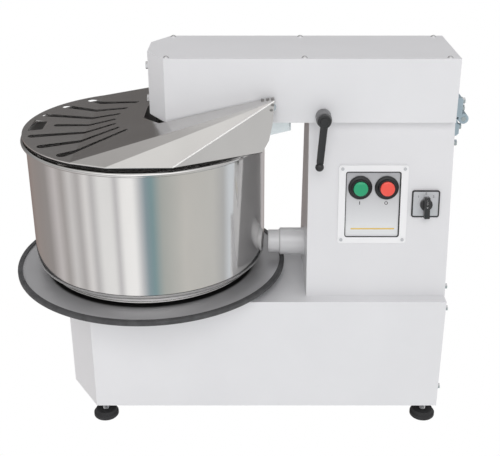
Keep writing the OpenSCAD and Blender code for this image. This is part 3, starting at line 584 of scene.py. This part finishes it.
def crease_pieces():
    """The rounded folds between the lid's ramp and its side panels, near white as a painted highlight along
    the creases.
    """
    rods = []
    for side in (-1, 1):
        low, high = P(65, -216 * side, 291), P(232, -118 * side, 373.7)
        run = high - low
        at = Matrix.Translation(low) @ run.to_track_quat("Z", "Y").to_matrix().to_4x4()
        length = run.length * MM
        rods.append(lathe_mesh("fold", [(0, 1), (1.1, 1), (1.1, length - 1), (0, length - 1)], at, 16))
    link("lid_folds", join("lid_folds", rods), "lid", (), FOLD_HIGHLIGHT)


def boss_piece():
    """The stepped guide boss on the column's front. Its heights are distances from the bowl's axis."""
    steps = [(0, 225), (22, 225), (22, 246), (26, 248.5), (26, 292), (28, 292), (28, 294.5), (0, 294.5)]
    prof = fillet(steps, [0, 1.6, 0.4, 0.5, 0.4, 0.5, 0.2, 0], 4)
    mesh = lathe_mesh("guide_boss_round", prof, P(0, 0, 58.5), 96, axis="X")
    link("guide_boss_round", mesh, "stand", ["guide_boss"], BOSS_PAINT)


bowl_piece()
disc_pieces()
crease_pieces()
boss_piece()

# ---------- spiral ----------


def ease(t):
    t = max(0.0, min(1.0, t))
    return t * t * (3 - 2 * t)


def hook_point(u):
    """Middle of the spiral's rod in mm, from its hub (0) to its tip (1)."""
    a = math.radians(150 + 430 * u)
    r = 8 + 64 * ease(u / 0.2) - 42 * ease((u - 0.86) / 0.14)
    z = 272 - 211 * (u - 0.06 * ease(u / 0.15)) / 0.94
    return Vector((121 + r * math.cos(a), r * math.sin(a), z))


def hook_piece():
    """The spiral's round rod, with a rounded tip."""
    rings, sides, rod = 220, 28, 9.9
    bm = bmesh.new()
    rows = []
    for i in range(rings + 1):
        u = i / rings
        d = (hook_point(u + 0.002) - hook_point(u - 0.002)).normalized()
        side = d.cross(Vector((0, 0, 1))).normalized()
        up = side.cross(d)
        c = hook_point(u)
        tip = max(0.0, (u - 0.985) / 0.015)
        r = rod * math.sqrt(max(0.0, 1 - (0.94 * tip) ** 2))
        row = []
        for k in range(sides):
            a = 2 * math.pi * k / sides
            row.append(bm.verts.new(P(*(c + r * (math.cos(a) * side + math.sin(a) * up)))))
        rows.append(row)
    for a, b in zip(rows, rows[1:]):
        close_strip(bm, a, b)
    bm.faces.new(rows[0])
    bm.faces.new(list(reversed(rows[-1])))
    mesh = to_mesh(bm, "spiral_rod")
    smooth(mesh, 40)
    link("spiral_rod", mesh, "spiral", ["spiral_hook"], TOOL_STEEL)


hook_piece()

# ---------- feet ----------


def feet_pieces():
    """Rubber pads and threaded studs of the four feet. Heights run up from the floor, at -267."""
    pad = fillet(
        [(0, -267), (22.5, -267), (24, -265), (24, -259), (21.5, -257), (19.2, -251.5), (12, -251),
         (6.1, -251), (6.1, -261), (0, -261)],
        [0, 0.8, 0.8, 1.5, 1.2, 1.5, 0.5, 0.3, 0, 0], 4,
    )
    root, crest, pitch = 5.45, 5.98, 1.25
    thread = [(0, -260.9)]
    z = -260.9
    while z < -203.5:
        thread += [(root, z), (crest, z + 0.45), (root, z + 0.9)]
        z += pitch
    thread += [(5.2, -202.3), (0, -202.1)]
    pads, studs = [], []
    for x in (-93, 529.5):
        for y in (-111.5, 111.5):
            pads.append(lathe_mesh("pad", pad, P(x, y, 0), 64))
            studs.append(lathe_mesh("stud", thread, P(x, y, 0), 24))
    mesh = join("foot_pads_round", pads)
    link("foot_pads_round", mesh, "stand", ["foot_pads"], BLACK_RUBBER)
    mesh = join("foot_studs_thread", studs)
    link("foot_studs_thread", mesh, "stand", ["foot_studs"], BRIGHT)


feet_pieces()

# ---------- control panel ----------
# Places on the controls' side of the column are mm along it from the bowl's axis, and mm up its slope.

START_X, STOP_X, BUTTONS_UP = 387.5, 435.0, 206.5
MARKS_UP = 178
SELECTOR_X, SELECTOR_UP = 506, 176.5
PLATE_TOP = 1.99  # height of the panel's inner plate, less a hair so that prints are let into it


def panel_pieces():
    """Frame, inner plate, black border with painted shade, gold line, and the signs for on and off."""
    at = on_face(411, 175)
    rim = band_mesh("panel_rim", rect(124, 144, 5), rect(97, 119.5, 3), 0.02, 3.0, at)
    link("panel_rim", rim, "stand", ["control_panel"], PANEL_WHITE)
    plate = prism_mesh("panel_plate", rect(100, 122, 4), 0.02, 2.0, at, 0.2)
    link("panel_plate", plate, "stand", (), PANEL_GREY)
    # The black border is a printed line, painted wider at its right and its top as painted shade of the
    # recess
    opening = rect(95.2, 118, 3.2, 5, -0.5, -0.1)
    border = band_mesh("panel_border_and_shade", rect(99, 121.5, 4.5), opening, PLATE_TOP, 3.2, at)
    link("panel_border_and_shade", border, "stand", (), INK)
    bar = prism_mesh("panel_gold_line", rect(79, 2.6, 1.0), PLATE_TOP, 2.12, on_face(412, 130))
    link("panel_gold_line", bar, "stand", (), GOLD)
    marks = [
        prism_mesh("mark_on", rect(1.4, 6, 0.3), PLATE_TOP, 2.1, on_face(START_X, MARKS_UP)),
        band_mesh("mark_off", circle(3.1), circle(2.1), PLATE_TOP, 2.1, on_face(STOP_X, MARKS_UP)),
    ]
    link("panel_marks", join("panel_marks", marks), "stand", (), INK)


def button_pieces():
    """The two caps, each with its stem, and their bezels."""
    cap_prof = fillet(
        [(0, -14), (5, -14), (5, 10.2), (12.9, 10.2), (12.9, 16.2), (9.5, 17.2), (0, 16.6)],
        [0, 0.5, 0.2, 0.5, 1.4, 1.2, 0], 5,
    )
    for x, name, node, body, slot, mat in (
        (START_X, "start_cap", "start_button", "start_push", "green_plastic", GREEN),
        (STOP_X, "stop_cap", "stop_button", "stop_push", "red_plastic", RED),
    ):
        mesh = lathe_mesh(name, cap_prof, on_face(x, BUTTONS_UP), 64)
        link(name, mesh, body, [node], mat)
    bezel_prof = fillet(
        [(5.05, 6), (5.05, -10), (11, -10), (11, 2.25), (21.5, 2.25), (21.5, 4.6), (19.4, 6.0), (16.2, 7.2),
         (15.6, 11.6), (13.4, 12.0), (13.1, 11.2), (13.1, 6)],
        [0.1, 0.3, 0.4, 0, 0.4, 0.9, 0.8, 1.2, 0.9, 0.5, 0.2, 0.3], 4,
    )
    rings = [lathe_mesh("bezel", bezel_prof, on_face(x, BUTTONS_UP), 72) for x in (START_X, STOP_X)]
    mesh = join("bezels_round", rings)
    link("bezels_round", mesh, "stand", ["button_bezels"], BEZEL_BLACK)


def selector_pieces():
    """The selector's frame, face and collar, and its bar knob with a white line."""
    at = on_face(SELECTOR_X, SELECTOR_UP)
    edge = band_mesh("selector_frame", rect(49.9, 49.4, 4), rect(45.2, 44.8, 2), 0.02, 3.4, at)
    link("selector_frame", edge, "stand", (), BLACK_SATIN)
    plate = prism_mesh("selector_face", rect(45.6, 45.2, 2), 0.02, 2.9, at, 0.2)
    collar = fillet([(3.05, 2.8), (14, 2.8), (14, 5), (3.05, 5)], [0, 0, 0.5, 0.2], 3)
    collar = lathe_mesh("selector_collar", collar, at, 64)
    mesh = join("selector_plate", [plate, collar])
    link("selector_plate", mesh, "stand", ["switch_plate"], SILVER)

    turn = at @ Matrix.Rotation(math.radians(1), 4, "Z")
    disc = [(0, -30), (3, -30), (3, 5.3), (11.1, 5.3), (11.1, 11.3), (10, 12), (0, 12)]
    disc = lathe_mesh("knob_disc", fillet(disc, [0, 0.3, 0.2, 0.5, 0.6, 0.6, 0], 4), turn, 64)
    grip = fillet([(-5, -23.5), (5, -23.5), (5, 15.5), (-5, 15.5)], 1.2, 4, closed=True)
    grip = prism_mesh("knob_grip", grip, 9, 21, turn, 0.7)
    link("knob_full", join("knob_full", [disc, grip]), "selector", ["switch_knob"], BLACK)
    line = prism_mesh("knob_line", rect(2.8, 12, 0.6, 3, 0.6, 8), 20.9, 21.0, turn)
    dot_at = turn @ Matrix.Translation((0.0006, -0.0025, 0))
    dot = prism_mesh("knob_dot", circle(1.5, 20), 20.9, 21.0, dot_at)
    link("knob_line", join("knob_line", [line, dot]), "selector", (), PANEL_WHITE)


def digit(name, text, x, up):
    """A printed figure on the selector's face, as a mesh."""
    curve = bpy.data.curves.new(name, "FONT")
    curve.body = text
    curve.size = 5.5 / MM
    curve.align_x = "CENTER"
    curve.align_y = "CENTER"
    curve.extrude = 0.00006
    obj = bpy.data.objects.new(name, curve)
    bpy.context.scene.collection.objects.link(obj)
    obj.matrix_world = on_face(x, up, 2.95)
    bpy.context.view_layer.update()
    mesh = bpy.data.meshes.new_from_object(obj.evaluated_get(bpy.context.evaluated_depsgraph_get()))
    mesh.transform(obj.matrix_world)
    mesh.name = name
    bpy.data.objects.remove(obj)
    mesh.materials.clear()
    return mesh


def digit_piece():
    marks = [
        digit("one", "1", SELECTOR_X - 13.5, 190),
        digit("zero", "0", SELECTOR_X, 195.5),
        digit("two", "2", SELECTOR_X + 13.5, 190),
    ]
    link("selector_digits", join("selector_digits", marks), "stand", (), INK)


panel_pieces()
button_pieces()
selector_pieces()
digit_piece()

# ---------- clamp lever ----------


def lever_piece():
    """The lever with its hub and ball end, and the boss on the head's side that it turns in."""
    x, up = 317, 338
    ball_r, lever_length = 7.5, 82
    facing = Matrix.Rotation(math.pi / 2, 4, "X")
    at = Matrix.Translation(P(x, -121, up)) @ facing
    hub = [(6, -7.5), (11, -7.5), (11.8, 2), (7.6, 2.05), (6.9, 4), (0, 4), (0, 0), (6, 0)]
    hub = lathe_mesh("lever_hub", fillet(hub, [0.2, 0.8, 1.4, 0.2, 0.8, 0, 0, 0], 4), at, 64)
    turn = at @ Matrix.Rotation(math.radians(-94.2), 4, "Z")
    arm = [(0, -6.4), (74, -6.1), (80, -4.5), (80, 4.5), (74, 6.1), (0, 6.4)]
    arm = fillet(arm, [0.5, 4, 3, 3, 4, 0.5], 4, closed=True)
    arm = prism_mesh("lever_arm", arm, -3.9, 1.9, turn, 1.5)
    half = [math.pi * k / 24 for k in range(25)]
    ball = [(ball_r * math.sin(a), -ball_r * math.cos(a)) for a in half]
    ball = lathe_mesh("lever_ball", ball, turn @ Matrix.Translation((lever_length / MM, 0, 0)), 48)
    mesh = join("lever_full", [hub, arm, ball])
    link("lever_full", mesh, "clamp", ["clamp_lever"], BLACK_SATIN)
    boss_at = Matrix.Translation(P(x, -88, up)) @ facing
    boss = [(6.05, -8), (8, -8), (8, 0), (13.4, 0), (13.4, 25), (6.05, 25)]
    boss = lathe_mesh("clamp_boss_round", fillet(boss, [0.2, 0.4, 0, 0.5, 1.2, 0.3], 4), boss_at, 64)
    link("clamp_boss_round", boss, "head", ["clamp_boss"], CLAMP_GREY)


lever_piece()

# ---------- stage, lights, camera ----------

scene = bpy.context.scene

# The studio's brightness round the machine, seen only in reflections. A direction round it
# runs from 0 to 1, with 0.5 at -Y, the side of the controls, and grows towards +X.
LOW_RING = [  # well below the horizon
    (0.0, (0.16, 0.12, 0.10)), (0.05, (0.26, 0.20, 0.18)), (0.12, (0.40, 0.35, 0.33)),
    (0.20, (0.45, 0.42, 0.41)), (0.24, (0.84, 0.80, 0.80)), (0.268, (0.58, 0.55, 0.54)),
    (0.295, (0.98, 0.96, 0.96)), (0.322, (0.66, 0.64, 0.64)), (0.345, (1.12, 1.10, 1.10)),
    (0.364, (0.74, 0.73, 0.74)), (0.385, 1.18), (0.416, 1.18), (0.430, (0.78, 0.77, 0.79)),
    (0.446, 1.32), (0.475, 1.36), (0.492, (0.80, 0.82, 0.85)), (0.508, (0.38, 0.49, 0.54)),
    (0.524, (0.32, 0.48, 0.51)), (0.549, (0.62, 0.65, 0.62)), (0.61, (0.84, 0.83, 0.79)),
    (0.695, (0.80, 0.80, 0.77)), (0.728, (0.66, 0.67, 0.67)), (0.750, (0.92, 0.97, 1.02)),
    (0.790, (0.92, 0.98, 1.04)), (0.825, (0.66, 0.64, 0.66)), (0.90, (0.60, 0.58, 0.60)),
    (0.96, (0.56, 0.52, 0.52)), (0.985, (0.20, 0.16, 0.14)), (1.0, (0.16, 0.12, 0.10)),
]
HIGH_RING = [  # round the horizon
    (0.0, (0.155, 0.144, 0.14)), (0.025, (0.155, 0.144, 0.14)), (0.06, (0.165, 0.155, 0.15)),
    (0.1, 0.20), (0.2, 0.45), (0.35, 0.65), (0.5, 0.75), (0.62, 0.77), (0.75, 0.69),
    (0.88, 0.35), (1.0, (0.155, 0.144, 0.14)),
]
MID_RING = [  # half way up
    (0.0, 0.33), (0.06, 0.38), (0.2, 0.6), (0.33, 0.9), (0.42, 2.0), (0.5, 2.3), (0.6, 2.0),
    (0.68, 0.9), (0.8, 0.7), (1.0, 0.26),
]
TOP_RING = [  # overhead
    (0.0, 1.2), (0.05, 0.9), (0.085, (0.55, 0.535, 0.52)), (0.12, (0.55, 0.535, 0.52)), (0.3, 0.9),
    (0.48, (1.03, 1.02, 1.0)), (0.65, 0.9), (0.9, 0.9), (1.0, 1.2),
]
# Each ring takes over from the one below it between two heights of the direction, from -1 to 1
RINGS = ((-0.28, -0.14, HIGH_RING), (0.35, 0.42, MID_RING), (0.62, 0.9, TOP_RING))


def world():
    """The studio for reflections, an even soft light, and white behind the object."""
    studio = bpy.data.worlds.new("studio")
    scene.world = studio
    studio.use_nodes = True
    nt = studio.node_tree
    nt.nodes.clear()
    sep = nt.nodes.new("ShaderNodeSeparateXYZ")
    nt.links.new(nt.nodes.new("ShaderNodeTexCoord").outputs["Generated"], sep.inputs[0])
    minus_y = nt.nodes.new("ShaderNodeMath")
    minus_y.operation = "MULTIPLY"
    minus_y.inputs[1].default_value = -1
    nt.links.new(sep.outputs["Y"], minus_y.inputs[0])
    azimuth = nt.nodes.new("ShaderNodeMath")
    azimuth.operation = "ARCTAN2"
    nt.links.new(sep.outputs["X"], azimuth.inputs[0])
    nt.links.new(minus_y.outputs[0], azimuth.inputs[1])
    turn = map_range(nt, azimuth.outputs[0], -math.pi, math.pi)

    sky = colour_ramp(nt, turn, LOW_RING)
    for start, end, ring in RINGS:
        level = map_range(nt, sep.outputs["Z"], start, end)
        sky = mix_colours(nt, level, sky, colour_ramp(nt, turn, ring))

    path = nt.nodes.new("ShaderNodeLightPath").outputs
    soft = background(nt, 0.48, (0.99, 0.985, 1.0))
    lit = mix_shaders(nt, path["Is Glossy Ray"], soft, background(nt, 1.0, sky))
    seen = mix_shaders(nt, path["Is Camera Ray"], lit, background(nt, 1.0, (1, 1, 1)))
    out = nt.nodes.new("ShaderNodeOutputWorld")
    nt.links.new(seen, out.inputs["Surface"])


def stage_floor():
    """A pale floor just under the feet, which the steel doesn't reflect."""
    bm = bmesh.new()
    s = 6.0
    bm.faces.new([bm.verts.new((x, y, -0.0005)) for x, y in ((-s, -s), (s, -s), (s, s), (-s, s))])
    mesh = to_mesh(bm, "floor")
    floor = bpy.data.objects.new("floor", mesh)
    scene.collection.objects.link(floor)
    m = Mat("floor_white", Roughness=0.9, Specular_IOR_Level=0.0, Base_Color=(0.5, 0.5, 0.5, 1),
            Emission_Color=(1, 1, 1, 1), Emission_Strength=0.64)
    camera_ray = m.nt.nodes.new("ShaderNodeLightPath").outputs["Is Camera Ray"]
    white = m.nt.nodes.new("ShaderNodeEmission").outputs[0]
    m.nt.links.new(mix_shaders(m.nt, camera_ray, m.bsdf.outputs[0], white),
                   m.nt.nodes["Material Output"].inputs["Surface"])
    mesh.materials.append(m.m)
    floor.visible_glossy = False


def light(name, place, aim, size, power):
    """A soft rectangular light that polished parts don't mirror."""
    data = bpy.data.lights.new(name, "AREA")
    data.shape = "RECTANGLE"
    data.size, data.size_y = size
    data.energy = power
    obj = bpy.data.objects.new(name, data)
    scene.collection.objects.link(obj)
    obj.visible_glossy = False
    obj.location = place
    obj.rotation_euler = (Vector(aim) - Vector(place)).to_track_quat("-Z", "Y").to_euler()


def camera():
    """The controls' side, from about 25 degrees above."""
    data = bpy.data.cameras.new("camera")
    data.sensor_fit = "HORIZONTAL"
    data.sensor_width = 36
    data.lens = 65.00088
    data.shift_x = -0.0035
    data.clip_start = 0.05
    data.clip_end = 50
    obj = bpy.data.objects.new("camera", data)
    scene.collection.objects.link(obj)
    obj.location = P(193.78, -1583.73, 808.52)
    looking_down = 0.4281
    obj.rotation_euler = (math.pi / 2 - looking_down, 0, 0)
    scene.camera = obj


world()
stage_floor()
light("key", (0.1, -2.7, 2.4), (0.05, 0, 0.35), (1.8, 1.4), 31)
light("top", (0.2, 0.3, 3.0), (0.05, 0, 0.3), (2.4, 2.4), 15)
light("rim", (-1.9, 1.2, 1.6), (0, 0, 0.4), (0.8, 1.6), 14)
camera()
scene.view_settings.view_transform = "Standard"
scene.view_settings.look = "None"
scene.view_settings.exposure = 0
scene.view_settings.gamma = 1
